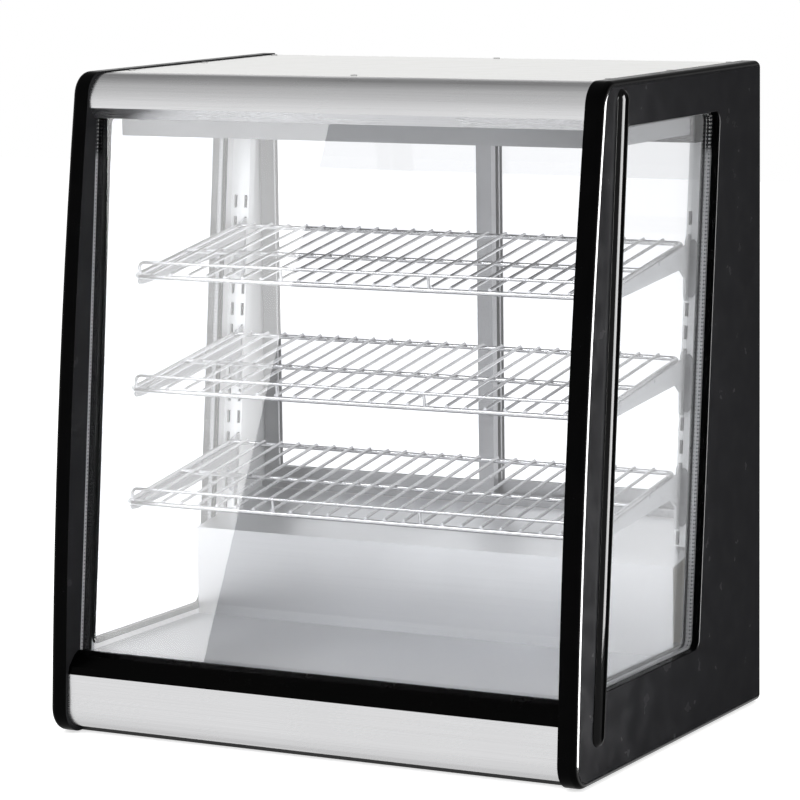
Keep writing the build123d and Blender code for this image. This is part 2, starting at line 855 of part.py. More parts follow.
def build_machinery():
    """Cold coil and fan behind the cover; compressor, hot coil and fan in the rear bay."""
    pan_top = plinth_height + trim_sheet
    cold_z = deck_height
    cold_y = cover_front + cold_coil_front_gap
    fan_half = fan_radius + fan_clearance + fan_frame_margin
    cold_fan_x = cabin_half - cold_fan_margin
    x0 = cold_coil_margin - cabin_half
    x1 = cold_fan_x - fan_half - coil_fan_gap
    y1 = bulkhead_front - cold_coil_rear_gap
    add("evaporator_coil", coil(x0, x1, cold_y, y1, cold_z, cold_z + cold_coil_height, 2, 3))
    cold_fan_z = cold_z + fan_radius + cold_fan_lift
    cold_frame, cold_rotor = fan(cold_fan_x, cover_front + cold_fan_setback, cold_fan_z, cold_z)
    bay = bulkhead_front + bulkhead_wall
    x1 = inner_half - hot_coil_margin
    x0 = x1 - hot_coil_length
    y0 = bay + hot_coil_gap
    top = pan_top + hot_coil_height
    add("condenser_coil", coil(x0, x1, y0, y0 + hot_coil_depth, pan_top, top, 1, 4))
    hot_z = pan_top + fan_radius + hot_fan_lift
    hot_frame, hot_rotor = fan((x0 + x1) / 2, bay + hot_fan_setback, hot_z, pan_top)
    add("fan_frames", Compound([cold_frame.solid(), hot_frame.solid()]))
    add("evaporator_fan_rotor", cold_rotor)
    add("condenser_fan_rotor", hot_rotor)
    centre_y = (bay + cover_rear_face) / 2
    can_radius = min(compressor_radius, centre_y - bay - 4)
    can = Cylinder(can_radius, compressor_height)
    x = compressor_margin - inner_half
    can = Pos(x, centre_y, pan_top + compressor_lift + compressor_height / 2) * can
    can = fillet(can.edges().filter_by(GeomType.CIRCLE), can_radius / 3)
    y0 = centre_y - compressor_base / 2
    y1 = centre_y + compressor_base / 2
    base = block(x - can_radius, x + can_radius, y0, y1, pan_top, pan_top + compressor_base_height)
    add("compressor", can + base)


def switch_places():
    """Centres of the two rocker switches on the rear cover."""
    return {"power_switch": -92.0, "light_switch": -62.0}


def build_rear_cover():
    """Louvred rear cover with its screws, controller, switches and cord inlet."""
    face = cover_rear_face
    back = face - sheet
    z0 = plinth_height + trim_sheet
    z1 = sill_height - sill_depth_under
    panel_z = z1 - 34
    cover = block(-cabin_half, cabin_half, back, face, z0, sill_height)
    cutters = []
    for side in (-1, 1):
        for index in range(louvre_count):
            z = z0 + 22 + index * louvre_pitch
            centre = side * (cabin_half - 60 - louvre_length / 2)
            left = centre - louvre_length / 2
            cutters.append(block(left, left + louvre_length, back - 1, face + 1, z, z + louvre_height))
    body_x, body_z, body_y = controller_body
    controller_x = 40.0
    hole = 0.2
    x0 = controller_x - body_x / 2
    half_z = body_z / 2 + hole
    x1 = x0 + body_x + hole
    cutters.append(block(x0 - hole, x1, back, face, panel_z - half_z, panel_z + half_z))
    for x in switch_places().values():
        half_x = switch_width / 2
        half_z = switch_length / 2
        cutters.append(block(x - half_x, x + half_x, back, face, panel_z - half_z, panel_z + half_z))
    inlet_x, inlet_z = -cabin_half + 34, z0 + 168
    cutters.append(cylinder_y(inlet_radius - 2, back - 1, face + 1, inlet_x, inlet_z))
    add("rear_cover", cover.cut(*cutters))

    heads = []
    for x in (-cabin_half + 12, 0, cabin_half - 12):
        for z in (z0 + 8, sill_height - 9):
            heads.append(cylinder_y(screw_radius, face, face + screw_height, x, z).solid())
    add("panel_screws", Compound(heads + top_screws()))

    flange = cylinder_y(inlet_radius, face, face + 2, inlet_x, inlet_z)
    stem = cylinder_y(inlet_radius - 2, back - 8, face, inlet_x, inlet_z)
    add("cord_gland", flange + stem)

    size_x, size_z = controller_size
    bezel = block(
        controller_x - size_x / 2,
        controller_x + size_x / 2,
        face,
        face + controller_bezel,
        panel_z - size_z / 2,
        panel_z + size_z / 2,
    )
    body = block(x0, x0 + body_x, back - body_y, face, panel_z - body_z / 2, panel_z + body_z / 2)
    controller = bezel + body
    wide, tall = button_size
    fit = 0.3
    names = ("button_set", "button_up", "button_down")
    for index, name in enumerate(names):
        x = controller_x + 4 + index * (wide + 3.5)
        z = panel_z - 6
        deep = face - 3
        floor = deep - button_travel - rest_gap
        half_x = wide / 2
        half_z = tall / 2
        low, high = z - half_z - fit, z + half_z + fit
        controller -= block(x - half_x - fit, x + half_x + fit, floor, face + 3, low, high)
        crown = face + controller_bezel + button_travel + 0.4
        add(name, block(x - half_x, x + half_x, deep, crown, z - half_z, z + half_z))
    add("controller", controller)

    housings = []
    for name, x in switch_places().items():
        half_x = switch_width / 2
        half_z = switch_length / 2
        shell = block(x - half_x, x + half_x, back - 16, face, panel_z - half_z, panel_z + half_z)
        low, high = panel_z - half_z - 1.5, panel_z + half_z + 1.5
        lip = block(x - half_x - 1.5, x + half_x + 1.5, face, face + 1, low, high)
        well_x = half_x - switch_wall
        well_z = half_z - switch_wall
        well = block(x - well_x, x + well_x, back - 14, face + 1, panel_z - well_z, panel_z + well_z)
        pin_y = face - 4
        pin = cylinder_x(1.5, 2 * well_x + 2, x, pin_y, panel_z)
        housings.append(((shell + lip) - well + pin).solid())
        rocker_x = well_x - rocker_clearance
        rocker_radius = well_z - rocker_clearance
        round_body = cylinder_x(rocker_radius, 2 * rocker_x, x, pin_y, panel_z)
        low, high = panel_z - rocker_radius, panel_z + rocker_radius
        keep = block(x - rocker_x, x + rocker_x, pin_y - 3, face + 2, low, high)
        rocker = round_body & keep
        rocker -= cylinder_x(1.5 + shaft_clearance, 4 * rocker_x, x, pin_y, panel_z)
        add(name, rocker)
    add("switch_housings", Compound(housings))


def main():
    build_side_panels()
    build_side_glazing()
    build_side_liners()
    build_trim_bars()
    build_front_glass()
    build_front_trims()
    build_top()
    build_base()
    build_machine_cover()
    build_pilasters()
    build_brackets()
    build_shelves()
    build_tracks()
    build_doors()
    build_machinery()
    build_rear_cover()
    os.makedirs("parts", exist_ok=True)
    for name, shape in PARTS.items():
        export_step(shape, f"parts/{name}.step")
    print(len(PARTS), "sub-parts")


main()
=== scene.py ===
"""Looks of a refrigerated countertop display case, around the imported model."""
import json
import math

import bmesh
import bpy
from mathutils import Matrix, Vector


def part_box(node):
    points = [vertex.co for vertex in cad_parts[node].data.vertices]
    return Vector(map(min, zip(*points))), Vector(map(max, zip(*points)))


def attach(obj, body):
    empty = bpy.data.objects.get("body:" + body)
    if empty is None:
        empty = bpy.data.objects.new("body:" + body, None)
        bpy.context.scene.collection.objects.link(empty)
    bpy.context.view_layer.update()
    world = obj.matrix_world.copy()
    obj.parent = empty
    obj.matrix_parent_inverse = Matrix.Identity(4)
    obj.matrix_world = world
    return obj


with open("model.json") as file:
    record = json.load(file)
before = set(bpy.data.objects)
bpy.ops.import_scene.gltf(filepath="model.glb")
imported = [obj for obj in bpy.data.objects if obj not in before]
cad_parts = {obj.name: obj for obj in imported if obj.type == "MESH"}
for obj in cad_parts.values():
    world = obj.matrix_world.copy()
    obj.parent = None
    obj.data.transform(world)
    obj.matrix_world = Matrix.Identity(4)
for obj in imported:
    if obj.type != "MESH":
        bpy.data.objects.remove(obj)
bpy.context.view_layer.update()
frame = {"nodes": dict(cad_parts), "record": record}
NODES = frame["nodes"]
CABINET = "cabinet"

# Camera
CAMERA_PLACE = (2.13018, -3.95070, 1.04535)
CAMERA_AZIMUTH = 28.428
CAMERA_PITCH = 8.288
CAMERA_ROLL = -0.762
CAMERA_LENS = 169.49
SENSOR = 36.0

# Diffuse soft boxes: name, place, aim, width, height, power
SOFTBOXES = (
    ("key_softbox", (-1.6, -3.0, 2.9), (0.0, 0.0, 0.4), 1.8, 1.8, 60.0),
    ("right_softbox", (3.2, -1.5, 0.7), (0.3, 0.0, 0.3), 2.0, 1.2, 26.0),
    ("top_softbox", (0.0, 0.6, 3.2), (0.0, 0.0, 0.5), 2.4, 2.0, 34.0),
)
WORLD_LIGHT = 0.55
# Soft box that the front glass mirrors, by the edge of its mirror image
VEIL_EDGE = (Vector((-1.277, -2.117, 0.024)), Vector((-1.088, -2.066, 0.972)))
VEIL_FACING = Vector((0.49, 0.865, -0.05))
VEIL_SIZE = (1.2, 1.7)
VEIL_POWER = 50.0
BARS = ("trim_bar_left", "trim_bar_right", "trim_bar_caps")
# Narrow lamps: name, place, aim, width, height, power, nodes that they reach
STRIPS = (
    ("edge_softbox", (0.83, 0.11, 0.36), (0.35, -0.24, 0.42), 0.36, 0.95, 34.0, ("side_panel_right",)),
    ("bar_softbox", (1.3, 0.13, 0.6), (0.357, -0.15, 0.5), 0.5, 1.2, 75.0, BARS),
    ("bar_edge_softbox", (0.12, -1.15, 0.75), (0.357, -0.19, 0.55), 0.5, 1.4, 130.0, BARS),
)
# Soft fill for the uprights and brackets: name, place, aim, size, power, reach
FILL = ("upright_softbox", (0.2, -1.9, 0.7), (0.0, 0.1, 0.45), 1.2, 10.0, ("pilasters", "brackets"))
LEAN = math.tan(math.radians(5.9))
# Shared places, in metres: the leaning plane's Y and Z under the top trim, then the rest
GLASS_TOP = (-0.16253, 0.735)
CABIN_HALF = 0.325
WINDOW_BOTTOM = 0.103
WINDOW_TOP = 0.737
WINDOW_FRONT = 0.027
WINDOW_REAR = 0.304
WINDOW_RADIUS = 0.012
GASKET_WIDTH = 0.0045
GASKET_DEPTH = 0.0031
GASKET_LIP = 0.0012
GASKET_SEAT = 0.002
PILASTER_FRONT = 0.321
PILASTER_DEPTH = 0.0255
SHELF_HEIGHTS = (0.58, 0.444, 0.308)
# Dark sheets of painted shade inside the uprights, seen through their slots
SLOT_SHADE_INSET = 0.0018
SLOT_SHADE_SETBACK = 0.0085
SLOT_SHADE_END = 0.002
SLOT_SHADE_THICKNESS = 0.001
LEAF_X = 0.3095
LEAF_HALF = 0.0085
LEAF_DROP = 0.0655
LEAF_RISE = 0.004
LEAF_STEPS = 40
LEAF_FULLNESS = 0.72
LEAF_GAP = 0.0003
LEAF_SHEET = 0.0028
LEAF_EDGE = 0.0009
# What polished surfaces see in front and behind: (height of the direction, level)
AHEAD = ((0.0, 0.75), (0.45, 0.86), (0.5, 0.84), (0.67, 0.7), (0.85, 0.56), (1.0, 0.46))
BEHIND = ((0.0, 0.6), (0.5, 0.8), (0.6, 0.7), (0.7, 0.24), (0.86, 0.2), (1.0, 0.5))
SHADED_HEADING = Vector((0.48, 0.87, -0.1)).normalized()
SHADED_LEVEL = 0.02
SHADED_EDGE = (0.86, 0.95)
FRONT_TO_BACK = (-0.1, 0.1)
FLOOR_SIZE = 14.0
FLOOR_LIFT = 0.65


def camera_axes():
    """Right, up and back directions of the photographed view."""
    azimuth = math.radians(CAMERA_AZIMUTH)
    pitch = math.radians(CAMERA_PITCH)
    roll = math.radians(CAMERA_ROLL)
    ahead = Vector(
        (
            -math.sin(azimuth) * math.cos(pitch),
            math.cos(azimuth) * math.cos(pitch),
            -math.sin(pitch),
        )
    )
    level = Vector((math.cos(azimuth), math.sin(azimuth), 0.0))
    upright = level.cross(ahead)
    right = level * math.cos(roll) + upright * math.sin(roll)
    up = upright * math.cos(roll) - level * math.sin(roll)
    return right, up, -ahead


def build_camera():
    """Camera at the photographed viewing angle."""
    data = bpy.data.cameras.new("view_camera")
    data.lens = CAMERA_LENS
    data.sensor_width = SENSOR
    data.clip_end = 60.0
    camera = bpy.data.objects.new("view_camera", data)
    bpy.context.scene.collection.objects.link(camera)
    turn = Matrix(camera_axes()).transposed().to_4x4()
    camera.matrix_world = Matrix.Translation(CAMERA_PLACE) @ turn
    bpy.context.scene.camera = camera


# Node helpers


class Nodes:
    """Short calls for wiring one node tree."""

    def __init__(self, tree):
        self.tree = tree
        tree.nodes.clear()

    def add(self, kind, settings=None, **inputs):
        node = self.tree.nodes.new(kind)
        for key, value in (settings or {}).items():
            setattr(node, key, value)
        for key, value in inputs.items():
            self.feed(node, key.replace("_", " "), value)
        return node

    def feed(self, node, name, value):
        socket = node.inputs[int(name)] if name.isdigit() else node.inputs[name]
        if isinstance(value, bpy.types.NodeSocket):
            self.tree.links.new(value, socket)
        else:
            socket.default_value = value

    def math(self, operation, first, second=0.0):
        node = self.tree.nodes.new("ShaderNodeMath")
        node.operation = operation
        self.feed(node, "0", first)
        self.feed(node, "1", second)
        return node.outputs[0]

    def mix_colour(self, factor, first, second):
        node = self.tree.nodes.new("ShaderNodeMix")
        node.data_type = "RGBA"
        self.feed(node, "0", factor)
        self.feed(node, "6", first)
        self.feed(node, "7", second)
        return node.outputs[2]

    def remap(self, value, low, high, new_low, new_high):
        node = self.tree.nodes.new("ShaderNodeMapRange")
        for index, item in enumerate((value, low, high, new_low, new_high)):
            self.feed(node, str(index), item)
        return node.outputs[0]


def new_group(name, inputs, outputs):
    """Empty shader group with named inputs and outputs."""
    group = bpy.data.node_groups.new(name, "ShaderNodeTree")
    for label, kind, value in inputs:
        socket = group.interface.new_socket(label, in_out="INPUT", socket_type=kind)
        socket.default_value = value
    for label, kind in outputs:
        group.interface.new_socket(label, in_out="OUTPUT", socket_type=kind)
    return group


FLOAT = "NodeSocketFloat"
VECTOR = "NodeSocketVector"


def build_grain_group():
    """Fine brushed lines that run along X, as a height and a mask."""
    group = new_group(
        "brushed_lines",
        [("Fineness", FLOAT, 1.0), ("Stretch", VECTOR, (3.0, 900.0, 900.0))],
        [("Lines", FLOAT), ("Patches", FLOAT)],
    )
    n = Nodes(group)
    entry = n.add("NodeGroupInput")
    leave = n.add("NodeGroupOutput")
    place = n.add("ShaderNodeTexCoord").outputs["Object"]
    stretched = n.add("ShaderNodeVectorMath", {"operation": "MULTIPLY"})
    n.feed(stretched, "0", place)
    n.feed(stretched, "1", entry.outputs["Stretch"])
    fine = n.add("ShaderNodeTexNoise", Scale=entry.outputs["Fineness"], Detail=4.0, Roughness=0.6)
    n.feed(fine, "Vector", stretched.outputs[0])
    broad = n.add("ShaderNodeTexNoise", Vector=place, Scale=9.0, Detail=2.0)
    n.feed(leave, "Lines", fine.outputs["Fac"])
    n.feed(leave, "Patches", broad.outputs["Fac"])
    return group


def build_orange_peel_group():
    """Very low ripple of a sprayed or enamelled surface, with faint dust."""
    group = new_group(
        "sprayed_ripple",
        [("Ripple Size", FLOAT, 260.0), ("Dust Size", FLOAT, 34.0)],
        [("Ripple", FLOAT), ("Dust", FLOAT)],
    )
    n = Nodes(group)
    entry = n.add("NodeGroupInput")
    leave = n.add("NodeGroupOutput")
    place = n.add("ShaderNodeTexCoord").outputs["Object"]
    ripple = n.add("ShaderNodeTexNoise", Vector=place, Scale=entry.outputs["Ripple Size"], Detail=1.5)
    dust = n.add("ShaderNodeTexNoise", Vector=place, Scale=entry.outputs["Dust Size"], Detail=6.0)
    n.feed(leave, "Ripple", ripple.outputs["Fac"])
    n.feed(leave, "Dust", n.remap(dust.outputs["Fac"], 0.4, 0.7, 0.0, 1.0))
    return group


def build_edge_group():
    """Mask of convex edges, from the mesh's pointiness."""
    group = new_group("convex_edges", [("Reach", FLOAT, 1.0)], [("Mask", FLOAT)])
    n = Nodes(group)
    entry = n.add("NodeGroupInput")
    leave = n.add("NodeGroupOutput")
    point = n.add("ShaderNodeNewGeometry").outputs["Pointiness"]
    edge = n.remap(point, 0.505, 0.56, 0.0, 1.0)
    n.feed(leave, "Mask", n.math("MULTIPLY", edge, entry.outputs["Reach"]))
    return group


def build_dots_group():
    """Rows of round punched dots on a glazing spacer, two rows across."""
    group = new_group(
        "punched_dots",
        [("Along", FLOAT, 0.0), ("Across", FLOAT, 0.0), ("Pitch", FLOAT, 0.0045), ("Radius", FLOAT, 0.0011)],
        [("Dots", FLOAT)],
    )
    n = Nodes(group)
    entry = n.add("NodeGroupInput")
    leave = n.add("NodeGroupOutput")
    squares = []
    for name in ("Along", "Across"):
        cell = n.math("DIVIDE", entry.outputs[name], entry.outputs["Pitch"])
        offset = n.math("SUBTRACT", n.math("FRACT", cell), 0.5)
        squares.append(n.math("POWER", n.math("ABSOLUTE", offset), 2.0))
    distance = n.math("SQRT", n.math("ADD", squares[0], squares[1]))
    limit = n.math("DIVIDE", entry.outputs["Radius"], entry.outputs["Pitch"])
    n.feed(leave, "Dots", n.math("LESS_THAN", distance, limit))
    return group


GRAIN = build_grain_group()
PEEL = build_orange_peel_group()
EDGES = build_edge_group()
DOTS = build_dots_group()


def group_node(n, group, **inputs):
    node = n.add("ShaderNodeGroup")
    node.node_tree = group
    for key, value in inputs.items():
        n.feed(node, key.replace("_", " "), value)
    return node


def start_material(name):
    material = bpy.data.materials.new(name)
    material.use_nodes = True
    return material, Nodes(material.node_tree)


def close_material(n, shader):
    output = n.add("ShaderNodeOutputMaterial")
    n.feed(output, "Surface", shader)


def bump(n, height, strength, distance):
    node = n.add("ShaderNodeBump", Height=height, Strength=strength, Distance=distance)
    return node.outputs[0]


def painted(name, colour, dusty, roughness, spread, ripple=0.04, specular=0.5):
    """Sprayed or moulded finish: faint ripple, dust in the colour, uneven gloss."""
    material, n = start_material(name)
    peel = group_node(n, PEEL)
    edges = group_node(n, EDGES, Reach=0.5)
    base = n.mix_colour(n.math("MULTIPLY", peel.outputs["Dust"], 0.35), (*colour, 1), (*dusty, 1))
    base = n.mix_colour(n.math("MULTIPLY", edges.outputs["Mask"], 0.3), base, (*dusty, 1))
    shader = n.add("ShaderNodeBsdfPrincipled")
    n.feed(shader, "Base Color", base)
    n.feed(shader, "Roughness", n.remap(peel.outputs["Dust"], 0, 1, roughness, roughness + spread))
    n.feed(shader, "Specular IOR Level", specular)
    n.feed(shader, "Normal", bump(n, peel.outputs["Ripple"], ripple, 0.0004))
    close_material(n, shader.outputs[0])
    return material


def brushed(name, colour, dark, roughness, spread, stretch, strength=0.12, anisotropy=0.6):
    """Brushed metal: long fine lines, uneven sheen and slightly darker patches."""
    material, n = start_material(name)
    grain = group_node(n, GRAIN, Stretch=stretch)
    edges = group_node(n, EDGES, Reach=1.0)
    lines = n.remap(grain.outputs["Lines"], 0.3, 0.7, 0.0, 1.0)
    base = n.mix_colour(lines, (*dark, 1), (*colour, 1))
    bright = tuple(min(1.0, part * 1.15) for part in colour)
    base = n.mix_colour(n.math("MULTIPLY", edges.outputs["Mask"], 0.4), base, (*bright, 1))
    shader = n.add("ShaderNodeBsdfPrincipled")
    n.feed(shader, "Base Color", base)
    n.feed(shader, "Metallic", 1.0)
    rough = n.remap(grain.outputs["Patches"], 0.3, 0.7, roughness, roughness + spread)
    n.feed(shader, "Roughness", n.math("ADD", rough, n.math("MULTIPLY", lines, 0.06)))
    n.feed(shader, "Anisotropic", anisotropy)
    n.feed(shader, "Normal", bump(n, grain.outputs["Lines"], strength, 0.0002))
    close_material(n, shader.outputs[0])
    return material


def clear_glass(name):
    """Clear glass that lets shadow and bounced light straight through."""
    material, n = start_material(name)
    peel = group_node(n, PEEL, Dust_Size=18.0)
    shader = n.add("ShaderNodeBsdfPrincipled")
    smear = n.remap(peel.outputs["Dust"], 0, 1, 0.0, GLASS_SMEAR)
    n.feed(shader, "Base Color", (*GLASS_TINT, 1))
    n.feed(shader, "Roughness", smear)
    n.feed(shader, "IOR", GLASS_IOR)
    n.feed(shader, "Transmission Weight", 1.0)
    path = n.add("ShaderNodeLightPath")
    through = n.math("MAXIMUM", path.outputs["Is Shadow Ray"], path.outputs["Is Diffuse Ray"])
    clear = n.add("ShaderNodeBsdfTransparent", Color=(0.98, 0.985, 0.99, 1))
    mix = n.add("ShaderNodeMixShader")
    n.feed(mix, "0", through)
    n.feed(mix, "1", shader.outputs[0])
    n.feed(mix, "2", clear.outputs[0])
    close_material(n, mix.outputs[0])
    return material


def enamelled_panel(name):
    """Black panel enamel, glossier where the coat thickens over the rounded edges; its colour holds painted
    shade on the front edges and painted sheen on the side faces.
    """
    material, n = start_material(name)
    peel = group_node(n, PEEL)
    facing = n.add("ShaderNodeSeparateXYZ", Vector=n.add("ShaderNodeNewGeometry").outputs["Normal"])
    sideways = n.math("ABSOLUTE", facing.outputs["X"])
    turned = n.remap(sideways, 0.8, 0.92, 0.0, 1.0)
    flat = n.remap(sideways, 0.99, 0.999, 1.0, 0.0)
    rounded = n.math("MULTIPLY", turned, flat)
    shader = n.add("ShaderNodeBsdfPrincipled")
    # Painted sheen: faces turned sideways take the lighter black, the front edges the near-black painted
    # shade
    broad = n.remap(sideways, 0.9, 0.99, 0.0, 1.0)
    lip = n.mix_colour(peel.outputs["Dust"], *SHADED_LIP_ENAMEL)
    face = n.mix_colour(peel.outputs["Dust"], *SHEENED_FACE_ENAMEL)
    n.feed(shader, "Base Color", n.mix_colour(broad, lip, face))
    n.feed(shader, "Roughness", n.remap(peel.outputs["Dust"], 0, 1, 0.2, 0.28))
    n.feed(shader, "Specular IOR Level", 0.03)
    n.feed(shader, "Coat Weight", rounded)
    n.feed(shader, "Coat Roughness", 0.08)
    n.feed(shader, "Normal", bump(n, peel.outputs["Ripple"], 0.02, 0.0004))
    close_material(n, shader.outputs[0])
    return material


def punched_spacer(name):
    """Spacer bar with two rows of punched dots, in painted shade high up under the top trim: a near-black
    bar with pale dots there.
    """
    material, n = start_material(name)
    place = n.add("ShaderNodeTexCoord").outputs["Object"]
    parts = n.add("ShaderNodeSeparateXYZ", Vector=place)
    facing = n.add("ShaderNodeSeparateXYZ", Vector=n.add("ShaderNodeNewGeometry").outputs["Normal"])
    sideways = n.math("GREATER_THAN", n.math("ABSOLUTE", facing.outputs["X"]), 0.5)
    upright = n.math("LESS_THAN", n.math("ABSOLUTE", facing.outputs["Z"]), 0.5)
    leaned = n.math("SUBTRACT", parts.outputs["Y"], n.math("MULTIPLY", parts.outputs["Z"], LEAN))
    across = n.add("ShaderNodeMix", {"data_type": "FLOAT"})
    n.feed(across, "0", sideways)
    n.feed(across, "2", parts.outputs["X"])
    n.feed(across, "3", leaned)
    along = n.add("ShaderNodeMix", {"data_type": "FLOAT"})
    n.feed(along, "0", upright)
    n.feed(along, "2", parts.outputs["Y"])
    n.feed(along, "3", parts.outputs["Z"])
    dots = group_node(n, DOTS, Along=along.outputs[0], Across=across.outputs[0])
    # Painted shade under the top trim: above these heights the bar turns near black and its dots pale
    high = n.remap(parts.outputs["Z"], *SPACER_SHADE, 0.0, 1.0)
    bar = n.mix_colour(high, (0.62, 0.62, 0.63, 1), (0.012, 0.012, 0.013, 1))
    hole = n.mix_colour(high, (0.16, 0.16, 0.17, 1), (0.8, 0.8, 0.8, 1))
    shader = n.add("ShaderNodeBsdfPrincipled")
    n.feed(shader, "Base Color", n.mix_colour(dots.outputs["Dots"], bar, hole))
    n.feed(shader, "Metallic", 0.2)
    n.feed(shader, "Roughness", 0.4)
    n.feed(shader, "Normal", bump(n, dots.outputs["Dots"], 0.4, 0.0003))
    close_material(n, shader.outputs[0])
    return material


def grey(level):
    return (level, level, level)


# One black enamel, clean and dusty, in two painted shadings: near black on the panels' edges as painted
# shade, lighter on their broad faces as painted sheen
SHADED_LIP_ENAMEL = ((0.0005, 0.0005, 0.0006, 1), (0.001, 0.001, 0.0011, 1))
SHEENED_FACE_ENAMEL = ((0.019, 0.019, 0.0205, 1), (0.0215, 0.0215, 0.023, 1))
GLASS_TINT = (0.988, 0.992, 1.0)
GLASS_SMEAR = 0.01
GLASS_IOR = 1.45
# Heights between which the spacer's colour turns to painted shade under the top trim
SPACER_SHADE = (0.685, 0.695)
TRIM_BLACK = ((0.0007, 0.0007, 0.0008), (0.0012, 0.0012, 0.0013), 0.07, 0.04, 0.01, 0.14)
# Name: colour, dusty colour, roughness, its spread, then ripple and specular level where they differ
PAINTED = {
    "black_trim": TRIM_BLACK,
    "black_trim_cap": TRIM_BLACK,
    "black_rail": (grey(0.0006), grey(0.001), 0.2, 0.1, 0.03, 0.03),
    "black_plastic": (grey(0.01), grey(0.02), 0.42, 0.15, 0.2),
    "white_liner": (grey(0.92), (0.88, 0.88, 0.87), 0.3, 0.12),
    "white_steel": ((0.82, 0.82, 0.81), (0.76, 0.76, 0.74), 0.34, 0.14),
    "lamp_housing": ((0.33, 0.33, 0.34), (0.29, 0.29, 0.3), 0.38, 0.1),
    "lamp_lens": ((0.86, 0.86, 0.84), (0.82, 0.82, 0.8), 0.3, 0.1),
    "valance_steel": (grey(0.012), grey(0.02), 0.4, 0.1, 0.04, 0.1),
    "gasket_rubber": (grey(0.006), grey(0.012), 0.5, 0.1, 0.1, 0.2),
    "slot_shade": (grey(0.05), grey(0.07), 0.6, 0.1, 0.1, 0.2),
    "leaf_steel": ((0.42, 0.42, 0.43), (0.37, 0.37, 0.38), 0.32, 0.1, 0.03),
    "seal_rubber": (grey(0.004), grey(0.008), 0.35, 0.1, 0.1, 0.15),
    "upright_aluminium": (grey(0.93), grey(0.88), 0.36, 0.1),
    "bracket_steel": ((0.56, 0.56, 0.57), (0.5, 0.5, 0.51), 0.4, 0.1),
    "foam": ((0.75, 0.68, 0.45), (0.7, 0.62, 0.4), 0.8, 0.1, 0.5),
    "foot_rubber": (grey(0.015), grey(0.03), 0.7, 0.15, 0.4),
    "fan_plastic": (grey(0.02), grey(0.035), 0.4, 0.15, 0.1),
    "compressor_paint": (grey(0.01), grey(0.02), 0.3, 0.2, 0.1),
    "button_plastic": ((0.2, 0.2, 0.21), (0.26, 0.26, 0.27), 0.35, 0.1),
    "switch_plastic": (grey(0.012), grey(0.02), 0.3, 0.1),
}
RAIL_METAL = ((0.37, 0.37, 0.38), (0.31, 0.31, 0.32), 0.34, 0.08, (4.0, 500.0, 4.0), 0.05, 0.2)
# Name: colour, dark of the lines, roughness, its spread, stretch, then bump and anisotropy
BRUSHED = {
    "stainless": ((0.83, 0.83, 0.84), (0.7, 0.7, 0.71), 0.2, 0.08, (3.0, 900.0, 900.0)),
    "deck_steel": ((0.42, 0.425, 0.44), (0.37, 0.375, 0.385), 0.34, 0.08, (3.0, 700.0, 700.0)),
    "cover_steel": ((0.7, 0.705, 0.715), (0.64, 0.645, 0.655), 0.36, 0.08, (3.0, 700.0, 700.0)),
    "chrome_wire": ((0.58, 0.58, 0.59), (0.48, 0.48, 0.49), 0.16, 0.08, grey(60.0), 0.03, 0.0),
    "screw_steel": (grey(0.6), grey(0.45), 0.22, 0.08, (400.0, 400.0, 40.0), 0.05, 0.0),
    "track_aluminium": RAIL_METAL,
    "door_frame": RAIL_METAL,
    "coil_aluminium": (grey(0.7), grey(0.6), 0.4, 0.1, (200.0, 3.0, 200.0), 0.05, 0.0),
    "galvanised": ((0.55, 0.56, 0.57), (0.42, 0.43, 0.44), 0.4, 0.16, grey(40.0), 0.04, 0.0),
}


def build_materials():
    """One finish for each of the record's material slots, and a few for scene pieces."""
    made = {"black_panel": enamelled_panel("black_panel"), "spacer_bar": punched_spacer("spacer_bar")}
    for name, values in PAINTED.items():
        made[name] = painted(name, *values)
    for name, values in BRUSHED.items():
        made[name] = brushed(name, *values)
    for name in ("side_glass", "front_glass", "door_glass"):
        made[name] = clear_glass(name)
    return made


# Nodes whose finish differs a little from the rest of their slot
SPECIAL_FINISH = {"machine_cover": "cover_steel"}


def dress_nodes(made):
    """Give every CAD node the finish of its record slot."""
    slots = {part["node"]: part["material_slot"] for part in frame["record"]["subparts"]}
    for name, node in NODES.items():
        finish = made[SPECIAL_FINISH.get(name, slots[name])]
        if node.material_slots:
            for holder in node.material_slots:
                holder.material = finish
        else:
            node.data.materials.append(finish)


# Pieces around the CAD nodes


def lean_y(height, offset):
    """Y of the plane that the front glass, windows and uprights follow."""
    return GLASS_TOP[0] - (GLASS_TOP[1] - height) * LEAN + offset


def new_piece(name, build, finish, bevel=0.0):
    """Mesh piece on the cabinet, built by a function that fills a bmesh."""
    mesh = bpy.data.meshes.new(name)
    work = bmesh.new()
    build(work)
    bmesh.ops.remove_doubles(work, verts=work.verts, dist=1e-6)
    bmesh.ops.recalc_face_normals(work, faces=work.faces)
    work.to_mesh(mesh)
    work.free()
    piece = bpy.data.objects.new(name, mesh)
    bpy.context.scene.collection.objects.link(piece)
    mesh.materials.append(finish)
    if bevel:
        rounding = piece.modifiers.new("rounding", "BEVEL")
        rounding.width = bevel
        rounding.segments = 3
        rounding.limit_method = "ANGLE"
    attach(piece, CABINET)
    return piece


def slab(work, outline, direction):
    """Closed solid: a flat outline pushed along a direction."""
    near = [work.verts.new(point) for point in outline]
    far = [work.verts.new(Vector(point) + direction) for point in outline]
    work.faces.new(near)
    work.faces.new(list(reversed(far)))
    count = len(near)
    for index in range(count):
        after = (index + 1) % count
        work.faces.new((near[after], near[index], far[index], far[after]))


def frame_loop(work, outer, inner, direction):
    """Closed ring: the band between two outlines, pushed along a direction."""
    count = len(outer)
    loops = []
    for outline, shift in ((outer, Vector()), (inner, Vector()), (inner, direction), (outer, direction)):
        loops.append([work.verts.new(Vector(point) + shift) for point in outline])
    for first, second in ((0, 1), (1, 2), (2, 3), (3, 0)):
        for index in range(count):
            after = (index + 1) % count
            a, b = loops[first], loops[second]
            work.faces.new((a[index], a[after], b[after], b[index]))


